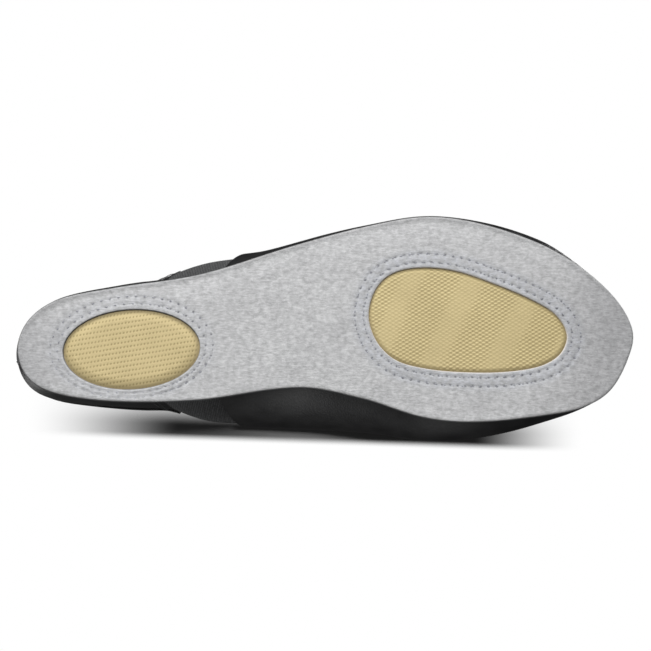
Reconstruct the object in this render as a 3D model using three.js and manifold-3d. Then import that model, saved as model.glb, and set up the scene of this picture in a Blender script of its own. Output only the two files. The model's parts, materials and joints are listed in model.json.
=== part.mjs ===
import * as THREE from 'three';
import { mergeVertices } from 'three/addons/utils/BufferGeometryUtils.js';
import Module from 'manifold-3d';

const wasm = await Module();
wasm.setup();

// Right-foot slip-on bowling shoe. Millimetres, toe along +X, arch side along +Y, sole face on z = 0.

// Overall sizes
const shoeLength = 278;
const ballWidth = 93;
const instepHeight = 84;
const heelHeight = 62;
const toeSpring = 5;
const springStart = 60;

// Material thicknesses and the gap left between neighbours
const gap = 0.35;
const wallGap = 0.5;
const suedeThickness = 2.0;
const suedeRim = 5.2;
const rimWidth = 2.0;
const leatherThickness = 1.3;
const stiffenerThickness = 0.8;
const liningThickness = 0.8;
const foamThickness = 3.2;
const boardThickness = 1.2;
const sockThickness = 1.2;
const heelLift = 2.4;
const stripThickness = 0.9;

// Windows, grips and stitching
const gripFlange = 0.7;
const gripMargin = { forefoot: 7.8, heel: 6 };
const gripRecess = 0.5;
const threadSize = 0.6;
const stitchRows = { forefoot: [2.3, 6.2], heel: [2.0, 4.3] };

// Where the upper's panels meet, as a share of the length from the heel
const quarterFrontLow = 0.22;
const quarterFrontHigh = 0.262;
const vampRearLow = 0.325;
const vampRearHigh = 0.44;
const gorePanelOverlap = 0.022;
const counterFront = 0.19;
const puffRear = 0.84;
const collarTape = 2.2;

// Sole edge: share of the length from the heel, share of the ball width from the centre line
const archEdge = [
  [0, 0.118], [0.022, 0.272], [0.068, 0.338], [0.165, 0.374], [0.295, 0.366], [0.457, 0.307],
  [0.558, 0.36], [0.655, 0.45], [0.737, 0.473], [0.849, 0.442], [0.914, 0.401], [0.96, 0.319],
  [0.993, 0.145], [1, 0.054],
];
const outerEdge = [
  [1, 0.054], [0.993, -0.03], [0.96, -0.169], [0.914, -0.285], [0.849, -0.397], [0.737, -0.505],
  [0.655, -0.528], [0.558, -0.477], [0.457, -0.396], [0.295, -0.247], [0.165, -0.186], [0.068, -0.127],
  [0.022, -0.04], [0, 0.118],
];

// Upper: ridge height as a share of the instep height, and how far each side swells past the sole
const ridgeHeights = [
  [0, 1.02], [0.2, 1.06], [0.4, 1.02], [0.5, 0.92], [0.62, 0.75], [0.76, 0.575], [0.88, 0.43], [0.95, 0.362],
  [1, 0.33],
];
const archSwell = [
  [0, 12.6], [0.1, 7.6], [0.2, 6.4], [0.24, 7.4], [0.28, 11.2], [0.32, 14.8], [0.37, 17.9], [0.46, 21.6],
  [0.56, 19], [0.68, 13.4], [0.8, 9.1], [0.92, 4.2], [1, 4],
];
const outerSwell = [
  [0, 12.6], [0.1, 12], [0.2, 12.2], [0.23, 12.6], [0.26, 16], [0.3, 17.2], [0.34, 16], [0.4, 12.4],
  [0.5, 11.7], [0.6, 10.4], [0.7, 9.4], [0.8, 9.6], [0.88, 9], [1, 4],
];
const toplineHeights = [
  [0, 1], [0.1, 0.95], [0.2, 0.84], [0.3, 0.82], [0.4, 0.95], [0.48, 1.12],
];
const ridgeShrink = 0.85;
const ridgeShift = 4;
const sectionPower = 0.77;

// Windows through the suede, as closed loops in millimetres
const ballWindow = [
  [19, -4], [22, -15.6], [29.5, -23], [42, -25.8], [58, -24.4], [75, -18.8], [92, -11.6], [103.5, -4.6],
  [108.6, 4.6], [105.4, 13.2], [96, 18.8], [80, 21.4], [62, 21.6], [45, 20], [31, 16], [22.4, 7.4],
];
const heelWindow = { x: -87.6, y: 11.2, halfLength: 30.8, halfWidth: 18, turn: -0.05 };

// Sampling
const ringCount = 64;
const wallSteps = [0, 0.03, 0.09, 0.18, 0.29, 0.41, 0.53, 0.66, 0.79, 0.9, 1];
const windowSegments = 40;

const halfLength = shoeLength / 2;
const alongScale = shoeLength / 278;
const acrossScale = ballWidth / 93;
const wallBase = suedeThickness + gripFlange + 2 * gap;
const wallInset = rimWidth + gap + 0.9;

const clamp = THREE.MathUtils.clamp;
const mix = THREE.MathUtils.lerp;
const smooth = THREE.MathUtils.smoothstep;

// Cubic through the given [position, value] pairs with the slope at each taken from its neighbours
function curve(points) {
  const slopes = points.map((p, i) => {
    const a = points[Math.max(i - 1, 0)];
    const b = points[Math.min(i + 1, points.length - 1)];
    return (b[1] - a[1]) / (b[0] - a[0]);
  });
  return (q) => {
    let i = 0;
    while (i < points.length - 2 && q > points[i + 1][0]) {
      i += 1;
    }
    const [x0, y0] = points[i];
    const [x1, y1] = points[i + 1];
    const w = x1 - x0;
    const t = clamp((q - x0) / w, 0, 1);
    const t2 = t * t;
    const t3 = t2 * t;
    return y0 * (2 * t3 - 3 * t2 + 1) + y1 * (3 * t2 - 2 * t3)
      + w * (slopes[i] * (t3 - 2 * t2 + t) + slopes[i + 1] * (t3 - t2));
  };
}

// The angle round the sole is 0 at the heel, pi at the toe, and grows along the arch side
const angleOf = (share) => Math.acos(clamp(1 - 2 * share, -1, 1));
const roundSole = (() => {
  const arch = archEdge.map(([share, y]) => [angleOf(share), y]);
  const outer = outerEdge.slice(1).map(([share, y]) => [2 * Math.PI - angleOf(share), y]);
  const loop = [...arch, ...outer];
  const before = outer.slice(-3, -1).map(([a, y]) => [a - 2 * Math.PI, y]);
  const after = arch.slice(1, 3).map(([a, y]) => [a + 2 * Math.PI, y]);
  return curve([...before, ...loop, ...after]);
})();
const wrap = (angle) => ((angle % (2 * Math.PI)) + 2 * Math.PI) % (2 * Math.PI);
const fold = (angle) => {
  const a = wrap(angle);
  return a > Math.PI ? 2 * Math.PI - a : a;
};
const edgeX = (angle) => -halfLength * Math.cos(angle);
const edgeY = (angle) => ballWidth * roundSole(wrap(angle));
const middleY = (angle) => (edgeY(fold(angle)) + edgeY(-fold(angle))) / 2;
const shareOf = (angle) => (1 - Math.cos(angle)) / 2;

// Toe spring lifts everything ahead of the ball
const springX = springStart * alongScale;
const lift = (x) => toeSpring * clamp((x - springX) / (halfLength - springX), 0, 1) ** 2;
const point = (x, y, z) => new THREE.Vector3(x, y, z + lift(x));

// A spot on the sole plan, set in from the edge at right angles to it
function inset(angle, distance) {
  const e = 0.02;
  const dx = edgeX(angle + e) - edgeX(angle - e);
  const dy = edgeY(angle + e) - edgeY(angle - e);
  const n = Math.hypot(dx, dy);
  return [edgeX(angle) + (dy / n) * distance, edgeY(angle) - (dx / n) * distance];
}

// A spot part of the way from an inset loop to the sole's middle line
function inPlan(angle, distance, share) {
  const [x, y] = inset(angle, distance);
  return [mix(x, edgeX(angle) * 0.8, share), mix(y, middleY(angle), share)];
}

// The upper's outer face before any thickness: up from the sole edge to the ridge
const ridgeCurve = curve(ridgeHeights);
const archCurve = curve(archSwell);
const outerCurve = curve(outerSwell);
const toplineCurve = curve(toplineHeights);
const ridgeZ = (angle) => instepHeight * ridgeCurve(shareOf(angle));
function bareWall(angle, step) {
  const share = shareOf(angle);
  const [x0, y0] = inset(angle, wallInset);
  const x1 = edgeX(angle) * ridgeShrink;
  const y1 = middleY(angle) + ridgeShift * acrossScale;
  const turn = (step * Math.PI) / 2;
  const across = Math.cos(turn) ** sectionPower;
  const up = Math.sin(turn) ** sectionPower;
  const reach = Math.hypot(x0 - x1, y0 - y1);
  const swell = (wrap(angle) < Math.PI ? archCurve(share) : outerCurve(share)) * acrossScale;
  const out = across + (swell / reach) * 6.75 * step * (1 - step) ** 2;
  return new THREE.Vector3(
    x1 + (x0 - x1) * out,
    y1 + (y0 - y1) * out,
    wallBase + (ridgeZ(angle) - wallBase) * up,
  );
}

function wallNormal(angle, step) {
  const e = 0.002;
  if (step > 0.995) {
    const a = clamp(fold(angle), 0.2, Math.PI - 0.2);
    const along = bareWall(a + 0.05, 1).sub(bareWall(a - 0.05, 1));
    const across = bareWall(-a, 0.97).sub(bareWall(a, 0.97));
    return across.cross(along).normalize();
  }
  const low = Math.max(step, 0.01);
  const round = bareWall(angle + e, low).sub(bareWall(angle - e, low));
  const up = bareWall(angle, low + e).sub(bareWall(angle, low - e));
  return up.cross(round).normalize();
}

// The upper's surface at a depth below its outer face
function wall(angle, step, depth) {
  const p = bareWall(angle, step).addScaledVector(wallNormal(angle, step), -depth);
  return point(p.x, p.y, Math.max(p.z, wallBase));
}

// The step up the wall that reaches a height
function stepAt(angle, z) {
  const up = clamp((z - wallBase) / (ridgeZ(angle) - wallBase), 0, 1);
  return (Math.asin(up ** (1 / sectionPower)) * 2) / Math.PI;
}
const toplineZ = (angle) => heelHeight * toplineCurve(shareOf(angle));
const topStep = (angle, extra = 0) => stepAt(angle, toplineZ(angle) + extra);

// Weld, drop flat faces, face outwards
function geometryFrom(points, faces) {
  const raw = new THREE.BufferGeometry();
  raw.setAttribute('position', new THREE.Float32BufferAttribute(points.flatMap((p) => [p.x, p.y, p.z]), 3));
  raw.setIndex(faces);
  const welded = mergeVertices(raw, 1e-3);
  const index = welded.getIndex().array;
  const kept = [];
  for (let i = 0; i < index.length; i += 3) {
    const [a, b, c] = [index[i], index[i + 1], index[i + 2]];
    if (a !== b && b !== c && c !== a) {
      kept.push(a, b, c);
    }
  }
  const at = (i) => new THREE.Vector3().fromBufferAttribute(welded.getAttribute('position'), i);
  let volume = 0;
  for (let i = 0; i < kept.length; i += 3) {
    volume += at(kept[i]).dot(at(kept[i + 1]).cross(at(kept[i + 2])));
  }
  if (volume < 0) {
    for (let i = 0; i < kept.length; i += 3) {
      [kept[i], kept[i + 1]] = [kept[i + 1], kept[i]];
    }
  }
  welded.setIndex(kept);
  return welded;
}

// A closed body from section points that run from the middle line, round the rim and back to it
function ringBody(section) {
  const points = [];
  const faces = [];
  const rows = section(0).length;
  for (let i = 0; i < ringCount; i += 1) {
    points.push(...section((i / ringCount) * 2 * Math.PI));
  }
  for (let i = 0; i < ringCount; i += 1) {
    const next = (i + 1) % ringCount;
    for (let j = 0; j < rows - 1; j += 1) {
      const a = i * rows + j;
      const b = next * rows + j;
      faces.push(a, b, b + 1, a, b + 1, a + 1);
    }
  }
  return geometryFrom(points, faces);
}

// A closed body between two faces of the same grid; a folded end has no rim of its own
function panelBody(outer, inner, countU, countV, foldedEnd = false) {
  const points = [];
  const faces = [];
  for (const face of [outer, inner]) {
    for (let i = 0; i <= countU; i += 1) {
      for (let j = 0; j <= countV; j += 1) {
        points.push(face(i / countU, j));
      }
    }
  }
  const row = countV + 1;
  const far = (countU + 1) * row;
  const quad = (a, b, c, d) => faces.push(a, b, c, a, c, d);
  for (let i = 0; i < countU; i += 1) {
    for (let j = 0; j < countV; j += 1) {
      const a = i * row + j;
      quad(a, a + row, a + row + 1, a + 1);
      quad(far + a, far + a + 1, far + a + row + 1, far + a + row);
    }
  }
  for (let i = 0; i < countU; i += 1) {
    const a = i * row;
    const b = a + countV;
    quad(a, far + a, far + a + row, a + row);
    quad(b, b + row, far + b + row, far + b);
  }
  for (let j = 0; j < countV; j += 1) {
    quad(j, j + 1, far + j + 1, far + j);
    if (!foldedEnd) {
      const a = countU * row + j;
      quad(a, far + a, far + a + 1, a + 1);
    }
  }
  return geometryFrom(points, faces);
}

// A loop on the sole plan and the same loop pushed out by a distance
function windowLoop(centres) {
  return (count) => Array.from({ length: count }, (_, i) => centres(i / count));
}
const ballSpline = new THREE.CatmullRomCurve3(
  ballWindow.map(([x, y]) => new THREE.Vector3(x * alongScale, y * acrossScale, 0)),
  true,
  'centripetal',
);
const ballLoop = (t) => {
  const p = ballSpline.getPointAt(t);
  const d = ballSpline.getTangentAt(t);
  return { x: p.x, y: p.y, nx: d.y, ny: -d.x };
};
const heelLoop = (t) => {
  const a = t * 2 * Math.PI;
  const long = heelWindow.halfLength * alongScale;
  const wide = heelWindow.halfWidth * acrossScale;
  const n = Math.hypot(wide * Math.cos(a), long * Math.sin(a));
  const turned = (x, y) => [
    x * Math.cos(heelWindow.turn) - y * Math.sin(heelWindow.turn),
    x * Math.sin(heelWindow.turn) + y * Math.cos(heelWindow.turn),
  ];
  const [x, y] = turned(long * Math.cos(a), wide * Math.sin(a));
  const [nx, ny] = turned((wide * Math.cos(a)) / n, (long * Math.sin(a)) / n);
  return { x: x + heelWindow.x * alongScale, y: y + heelWindow.y * acrossScale, nx, ny };
};

// A plug whose sides follow a window loop: profile is [outward distance, height] from the top centre down
function plugBody(loop, centre, profile) {
  const samples = windowLoop(loop)(windowSegments);
  const points = [];
  const faces = [];
  const topShares = [0, 0.5];
  const rows = profile.length + 2 * topShares.length;
  for (const s of samples) {
    const at = ([out, z]) => [s.x + s.nx * out, s.y + s.ny * out, z];
    const toMiddle = (share, [out, z]) => {
      const [x, y] = at([out, z]);
      return point(mix(centre[0], x, share), mix(centre[1], y, share), z);
    };
    const last = profile.length - 1;
    points.push(...topShares.map((share) => toMiddle(share, profile[0])));
    points.push(...profile.map((p) => point(...at(p))));
    points.push(...topShares.toReversed().map((share) => toMiddle(share, profile[last])));
  }
  for (let i = 0; i < windowSegments; i += 1) {
    const next = (i + 1) % windowSegments;
    for (let j = 0; j < rows - 1; j += 1) {
      const a = i * rows + j;
      const b = next * rows + j;
      faces.push(a, b, b + 1, a, b + 1, a + 1);
    }
  }
  return geometryFrom(points, faces);
}

// A closed loop of square bar along a window's edge
function loopBar(loop, out, width, low, high) {
  const samples = windowLoop(loop)(windowSegments);
  const corners = [[out - width / 2, low], [out + width / 2, low], [out + width / 2, high], [out - width / 2, high]];
  const points = samples.flatMap((s) => corners.map(([o, z]) => point(s.x + s.nx * o, s.y + s.ny * o, z)));
  const faces = [];
  for (let i = 0; i < windowSegments; i += 1) {
    const next = (i + 1) % windowSegments;
    for (let j = 0; j < 4; j += 1) {
      const k = (j + 1) % 4;
      faces.push(i * 4 + j, next * 4 + j, next * 4 + k, i * 4 + j, next * 4 + k, i * 4 + k);
    }
  }
  return geometryFrom(points, faces);
}

// Booleans
function toManifold(geometry) {
  const mesh = new wasm.Mesh({
    numProp: 3,
    vertProperties: new Float32Array(geometry.getAttribute('position').array),
    triVerts: new Uint32Array(geometry.getIndex().array),
  });
  mesh.merge();
  return new wasm.Manifold(mesh);
}
function cut(geometry, tools, within) {
  let body = toManifold(geometry);
  for (const tool of tools) {
    body = body.subtract(toManifold(tool));
  }
  if (within) {
    body = body.intersect(toManifold(within));
  }
  const mesh = body.getMesh();
  const result = new THREE.BufferGeometry();
  result.setAttribute('position', new THREE.Float32BufferAttribute(mesh.vertProperties, 3));
  result.setIndex(Array.from(mesh.triVerts));
  return result;
}

const group = new THREE.Group();
group.name = 'slip_on_bowling_shoe';
function add(name, geometry, colour, roughness) {
  const body = geometry;
  body.computeVertexNormals();
  const mesh = new THREE.Mesh(body, new THREE.MeshStandardMaterial({ color: colour, roughness }));
  mesh.name = name;
  mesh.material.name = name;
  group.add(mesh);
}

// Suede sole with its edge turned up, both windows and the four stitch grooves
const flatShares = [1, 0.6, 0.24];
const soleSection = (angle) => {
  const rim = [[3.6, 0], [2.3, 0.15], [1.2, 0.6], [0.4, 1.4], [0, 2.6], [0.15, 3.8], [0.6, suedeRim],
    [rimWidth - 0.5, suedeRim], [rimWidth, suedeRim - 0.5], [rimWidth, suedeThickness], [3.6, suedeThickness]];
  return [
    ...flatShares.map((share) => point(...inPlan(angle, 3.6, share), 0)),
    ...rim.map(([distance, z]) => point(...inset(angle, distance), z)),
    ...flatShares.toReversed().map((share) => point(...inPlan(angle, 3.6, share), suedeThickness)),
  ];
};
const centres = {
  forefoot: [62 * alongScale, 0],
  heel: [heelWindow.x * alongScale, heelWindow.y * acrossScale],
};
const loops = { forefoot: ballLoop, heel: heelLoop };
const grooveDepth = threadSize + gap;
const windowTools = Object.keys(loops).flatMap((name) => [
  plugBody(loops[name], centres[name], [[0, 9], [0, -9]]),
  ...stitchRows[name].map((out) => loopBar(loops[name], out, threadSize + 2 * gap, -9, grooveDepth)),
]);
add('outsole_suede', cut(ringBody(soleSection), windowTools), 0xc4c4c6, 0.95);

// Rubber grips: a flange above the suede and a pad that reaches down into the window
const flangeLow = suedeThickness + gap;
const insideRim = ringBody((angle) => [
  ...flatShares.map((share) => point(...inPlan(angle, rimWidth + gap, share), -9)),
  point(...inset(angle, rimWidth + gap), -9),
  point(...inset(angle, rimWidth + gap), 9),
  ...flatShares.toReversed().map((share) => point(...inPlan(angle, rimWidth + gap, share), 9)),
]);
for (const name of Object.keys(loops)) {
  const margin = gripMargin[name];
  const profile = [[margin, flangeLow + gripFlange], [margin, flangeLow], [-gap, flangeLow], [-gap, gripRecess]];
  add(`${name}_grip`, cut(plugBody(loops[name], centres[name], profile), [], insideRim), 0xcdb988, 0.8);
  stitchRows[name].forEach((out, i) => {
    const row = ['inner', 'outer'][i];
    const low = name === 'heel' && i === 1 ? 0.3 : 0.1;
    add(`${name}_stitch_${row}`, loopBar(loops[name], out, threadSize, low, low + threadSize - 0.05), 0x55565c, 0.9);
  });
}

// Layers under the foot, each a flat body inside the lining
const layerDepth = wallInset + leatherThickness + stiffenerThickness + liningThickness + 2 * wallGap + gap + 0.3;
function layer(low, high, distance = layerDepth) {
  return ringBody((angle) => [
    ...flatShares.map((share) => point(...inPlan(angle, distance, share), low(edgeX(angle) * mix(1, 0.8, share)))),
    point(...inset(angle, distance), low(inset(angle, distance)[0])),
    point(...inset(angle, distance), high(inset(angle, distance)[0])),
    ...flatShares.toReversed().map((share) => (
      point(...inPlan(angle, distance, share), high(edgeX(angle) * mix(1, 0.8, share))))),
  ]);
}
const foamLow = suedeThickness + gap;
const foamTop = foamLow + foamThickness;
const boardLow = foamTop + gap;
const boardTop = boardLow + boardThickness;
const pockets = Object.keys(loops).map((name) => (
  plugBody(loops[name], centres[name], [
    [gripMargin[name] + gap, flangeLow + gripFlange + gap], [gripMargin[name] + gap, -9],
  ])));
add('sole_foam', cut(layer(() => foamLow, () => foamTop), pockets), 0xe6e2d6, 0.9);
add('insole_board', layer(() => boardLow, () => boardTop), 0xa58a63, 0.85);

const padFade = (x) => 1 - smooth(x, -88 * alongScale, -50 * alongScale);
const sockLow = (x) => boardTop + gap + heelLift * padFade(x);
add('sock_lining', layer(sockLow, (x) => sockLow(x) + sockThickness), 0x8d8d8f, 0.95);

// Heel cushion: round at the back like the sole, thinning to its front edge
const padFront = -64 * alongScale;
const padPoint = (u, j, top) => {
  const angle = angleOf(mix(0.5 + padFront / shoeLength, 0, u));
  const v = j / 8;
  const [xa, ya] = inset(angle, layerDepth + 3);
  const [xb, yb] = inset(-angle, layerDepth + 3);
  const x = mix(xa, xb, v);
  const z = boardTop + gap;
  return point(x, mix(ya, yb, v), top ? sockLow(x) - gap : z);
};
add('heel_pad', panelBody((u, j) => padPoint(u, j, true), (u, j) => padPoint(u, j, false), 10, 8, true), 0xd9c8a0, 0.9);

// Upper panels
const outerDepths = [0, leatherThickness];
const middleDepths = [leatherThickness + wallGap, leatherThickness + wallGap + stiffenerThickness];
const innerDepths = [middleDepths[1] + wallGap, middleDepths[1] + wallGap + liningThickness];

// Front panels: columns run from the outer sole edge over the ridge to the arch sole edge
const columns = 2 * (wallSteps.length - 1);
const columnAt = (j) => {
  const side = j - (wallSteps.length - 1);
  return { arch: side >= 0, step: wallSteps[wallSteps.length - 1 - Math.abs(side)] };
};
const rearShare = (step) => mix(vampRearLow, vampRearHigh, 1 - (1 - step) ** 2);
function frontPanel(rear, depths, rows, lowest = 0) {
  const face = (depth) => (u, j) => {
    const { arch, step } = columnAt(j);
    const raised = Math.max(step, lowest);
    const start = angleOf(rear(raised));
    const angle = mix(start, Math.PI, u);
    return wall(arch ? angle : -angle, raised, depth);
  };
  return panelBody(face(depths[0]), face(depths[1]), rows, columns, true);
}
const blackLeather = 0x141415;
const liningColour = 0x5d5d60;
add('vamp', frontPanel(rearShare, outerDepths, 20), blackLeather, 0.5);
add('vamp_lining', frontPanel(rearShare, innerDepths, 20), liningColour, 0.95);
add('toe_puff', frontPanel(() => puffRear, middleDepths, 8, 0.012), 0xb9ab92, 0.9);

// Side panels: u runs forward from the heel, j up the wall
function sidePanel(side, from, to, depths, columnsU, top = 0, bottom = 0) {
  const last = wallSteps.length - 1;
  const face = (depth) => (u, j) => {
    const rise = j / last;
    const angle = mix(from(rise), to(rise), u);
    const high = topStep(angle, top);
    const low = bottom > 0 ? stepAt(angle, bottom) : 0;
    return wall(side * angle, mix(low, high, rise ** 1.25), depth);
  };
  return panelBody(face(depths[0]), face(depths[1]), columnsU, last);
}
const backSeam = gap / 2 / (halfLength * 0.35);
const quarterFront = (rise) => angleOf(mix(quarterFrontLow, quarterFrontHigh, rise));
for (const [word, side] of [['medial', 1], ['lateral', -1]]) {
  add(`quarter_${word}`, sidePanel(side, () => backSeam, quarterFront, outerDepths, 16), blackLeather, 0.5);
}
const wholeQuarter = (depths, front, top, bottom) => {
  const last = wallSteps.length - 1;
  const face = (depth) => (u, j) => {
    const rise = j / last;
    const angle = mix(-front(rise), front(rise), u);
    const low = bottom > 0 ? stepAt(angle, bottom) : 0;
    return wall(angle, mix(low, topStep(angle, top), rise ** 1.25), depth);
  };
  return panelBody(face(depths[0]), face(depths[1]), 34, last);
};
add('quarter_lining', wholeQuarter(innerDepths, quarterFront, 0, 0), liningColour, 0.95);
add('heel_counter', wholeQuarter(middleDepths, () => angleOf(counterFront), -14, 4), 0xb9ab92, 0.9);

// Elastic gores lie between leather and lining at both ends
const goreDepths = [middleDepths[0] + 0.15, middleDepths[1]];
const goreTopStep = topStep(angleOf(mix(vampRearLow, vampRearHigh, 0.7)));
const goreRear = (rise) => angleOf(mix(quarterFrontLow, quarterFrontHigh, rise) - gorePanelOverlap);
const goreFront = (rise) => angleOf(rearShare(goreTopStep * rise ** 1.25) + gorePanelOverlap);
for (const [word, side] of [['medial', 1], ['lateral', -1]]) {
  add(`gore_${word}`, sidePanel(side, goreRear, goreFront, goreDepths, 11, -0.8), 0x3a3b3e, 0.9);
}

// Grey strip over the heel seam
const stripHalf = 5;
const stripAngle = (u) => mix(-1, 1, u) * (stripHalf / (halfLength * 0.34));
const strip = (depth) => (u, j) => {
  const angle = stripAngle(u);
  return wall(angle, mix(stepAt(angle, suedeRim + gap), topStep(angle, 0), j / 8), depth);
};
add('backstay', panelBody(strip(-gap - stripThickness), strip(-gap), 4, 8), 0x6f7073, 0.8);

// Tape along the heel collar, bridging leather and lining
const collarDepths = [-0.3, innerDepths[1] + 0.3];
const collar = (depth) => (u, j) => {
  const front = quarterFront(1);
  const angle = mix(-front, front, u);
  return wall(angle, topStep(angle, gap + (j / 2) * collarTape), depth);
};
add('collar_binding', panelBody(collar(collarDepths[0]), collar(collarDepths[1]), 28, 2), 0x1b1b1d, 0.7);

// Tape along the throat, from one gore over the ridge to the other
const throat = (depth) => (u, j) => {
  const { arch, step } = columnAt(Math.round(mix(5, columns - 5, u)));
  const ahead = mix(collarTape, 0, j / 2) + gap;
  const start = angleOf(rearShare(step) - ahead / shoeLength);
  return wall(arch ? start : -start, step, depth);
};
add('throat_binding', panelBody(throat(collarDepths[0]), throat(collarDepths[1]), columns - 10, 2), 0x1b1b1d, 0.7);

// Centre the whole shoe over the origin
group.updateMatrixWorld(true);
const extent = new THREE.Box3().setFromObject(group);
for (const mesh of group.children) {
  mesh.geometry.translate(-(extent.min.x + extent.max.x) / 2, -(extent.min.y + extent.max.y) / 2, 0);
}

export default group;
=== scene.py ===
import json
import math

import bmesh
import bpy
import numpy as np
from mathutils import Matrix, Vector

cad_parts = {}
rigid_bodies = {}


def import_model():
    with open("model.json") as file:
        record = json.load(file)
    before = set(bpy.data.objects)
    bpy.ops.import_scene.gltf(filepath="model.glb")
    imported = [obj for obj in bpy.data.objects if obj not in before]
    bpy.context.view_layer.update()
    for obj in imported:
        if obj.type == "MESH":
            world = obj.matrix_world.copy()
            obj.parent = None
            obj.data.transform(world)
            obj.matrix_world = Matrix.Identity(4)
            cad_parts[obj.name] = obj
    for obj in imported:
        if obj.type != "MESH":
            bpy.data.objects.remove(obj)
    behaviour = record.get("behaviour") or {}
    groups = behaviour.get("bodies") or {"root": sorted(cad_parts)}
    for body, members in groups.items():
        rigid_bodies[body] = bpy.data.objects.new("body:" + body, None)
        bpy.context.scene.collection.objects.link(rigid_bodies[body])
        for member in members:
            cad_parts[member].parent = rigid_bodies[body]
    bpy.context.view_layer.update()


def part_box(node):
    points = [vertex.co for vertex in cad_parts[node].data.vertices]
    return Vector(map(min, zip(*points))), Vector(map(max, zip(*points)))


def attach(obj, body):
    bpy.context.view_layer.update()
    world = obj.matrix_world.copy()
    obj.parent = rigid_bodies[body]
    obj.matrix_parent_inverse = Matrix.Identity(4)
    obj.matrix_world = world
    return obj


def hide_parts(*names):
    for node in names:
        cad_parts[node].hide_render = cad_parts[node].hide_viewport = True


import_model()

mm = 0.001

# the shoe's own sizes in millimetres, as the solids have them
shoe = {
    "length": 278, "ballWidth": 93, "instep": 84, "heelHeight": 62,
    "toeSpring": 5, "springStart": 60, "suede": 2.0, "rimTop": 5.2,
    "wallBase": 3.4, "wallInset": 3.25, "leather": 1.3, "middle": 1.8, "inner": 3.1,
    "liningThick": 0.8, "ridgeShrink": 0.85, "ridgeShift": 4, "power": 0.77,
    "quarterFront": (0.22, 0.262), "vampRear": (0.325, 0.44), "goreUnder": 0.022,
    "sockLow": 7.45, "sockThick": 1.2, "heelLift": 2.4, "layerInset": 7.8,
}
archEdge = [(0, 0.118), (0.022, 0.272), (0.068, 0.338), (0.165, 0.374), (0.295, 0.366), (0.457, 0.307),
            (0.558, 0.36), (0.655, 0.45), (0.737, 0.473), (0.849, 0.442), (0.914, 0.401), (0.96, 0.319),
            (0.993, 0.145), (1, 0.054)]
outerEdge = [(1, 0.054), (0.993, -0.03), (0.96, -0.169), (0.914, -0.285), (0.849, -0.397), (0.737, -0.505),
             (0.655, -0.528), (0.558, -0.477), (0.457, -0.396), (0.295, -0.247), (0.165, -0.186),
             (0.068, -0.127), (0.022, -0.04), (0, 0.118)]
ridgeHeights = [(0, 1.02), (0.2, 1.06), (0.4, 1.02), (0.5, 0.92), (0.62, 0.75), (0.76, 0.575), (0.88, 0.43),
                (0.95, 0.362), (1, 0.33)]
archSwell = [(0, 11.8), (0.1, 7.2), (0.2, 6.4), (0.24, 7.4), (0.28, 11.2), (0.32, 14.8), (0.37, 17.9),
             (0.46, 21.6), (0.56, 19), (0.68, 13.4), (0.8, 9.1), (0.92, 4.2), (1, 4)]
outerSwell = [(0, 11.8), (0.1, 11.6), (0.2, 11.6), (0.23, 12), (0.26, 15), (0.3, 16), (0.34, 14.6), (0.4, 11.1),
              (0.5, 10.3), (0.6, 9), (0.7, 8.2), (0.8, 8.8), (0.88, 8.4), (1, 4)]
topline = [(0, 1), (0.1, 0.95), (0.2, 0.84), (0.3, 0.82), (0.4, 0.95), (0.48, 1.12)]
ballWindow = [(19, -4), (22, -15.6), (29.5, -23), (42, -25.8), (58, -24.4), (75, -18.8), (92, -11.6),
              (103.5, -4.6), (108.6, 4.6), (105.4, 13.2), (96, 18.8), (80, 21.4), (62, 21.6), (45, 20),
              (31, 16), (22.4, 7.4)]
heelWindow = {"x": -87.6, "y": 11.2, "halfLength": 30.8, "halfWidth": 18, "turn": -0.05}


# shape of the sole and the upper, worked out as arrays

def unit(v):
    return v / np.linalg.norm(v, axis=-1, keepdims=True)


def smoothCurve(points, q):
    # cubic through the pairs; the slope at each comes from its two neighbours
    x, y = np.array(points, float).T
    slope = np.empty_like(y)
    slope[1:-1] = (y[2:] - y[:-2]) / (x[2:] - x[:-2])
    slope[0] = (y[1] - y[0]) / (x[1] - x[0])
    slope[-1] = (y[-1] - y[-2]) / (x[-1] - x[-2])
    i = np.clip(np.searchsorted(x, q, side="left") - 1, 0, len(x) - 2)
    w = x[i + 1] - x[i]
    t = np.clip((q - x[i]) / w, 0, 1)
    flat = y[i] * (2 * t**3 - 3 * t**2 + 1) + y[i + 1] * (3 * t**2 - 2 * t**3)
    return flat + w * (slope[i] * (t**3 - 2 * t**2 + t) + slope[i + 1] * (t**3 - t**2))


def smoothStep(low, high, q):
    # 0 up to low, 1 from high, and a cubic ease between
    t = np.clip((np.asarray(q, float) - low) / (high - low), 0, 1)
    return t * t * (3 - 2 * t)


def mix(a, b, t):
    return a + (b - a) * t


def angleOf(share):
    # the share of the length is half of 1 less the cosine of the angle
    return np.arccos(np.clip(1 - 2 * np.asarray(share, float), -1, 1))


def shareOf(angle):
    return (1 - np.cos(angle)) / 2


# the sole's edge as one curve over the angle round it: heel 0, toe pi, arch side first
archPart = [(float(angleOf(s)), y) for s, y in archEdge]
outerPart = [(2 * math.pi - float(angleOf(s)), y) for s, y in outerEdge[1:]]
roundSole = ([(a - 2 * math.pi, y) for a, y in outerPart[-3:-1]] + archPart + outerPart
             + [(a + 2 * math.pi, y) for a, y in archPart[1:3]])
halfLength = shoe["length"] / 2


def edgeX(angle):
    return -halfLength * np.cos(angle)


def edgeY(angle):
    # across the shoe the edge is a smooth curve of the angle; along it, a cosine
    return shoe["ballWidth"] * smoothCurve(roundSole, np.mod(angle, 2 * math.pi))


def foldAngle(angle):
    # the arch-side angle at the same share of the length
    a = np.mod(angle, 2 * math.pi)
    return np.where(a > math.pi, 2 * math.pi - a, a)


def middleY(angle):
    return (edgeY(foldAngle(angle)) + edgeY(-foldAngle(angle))) / 2


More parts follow.
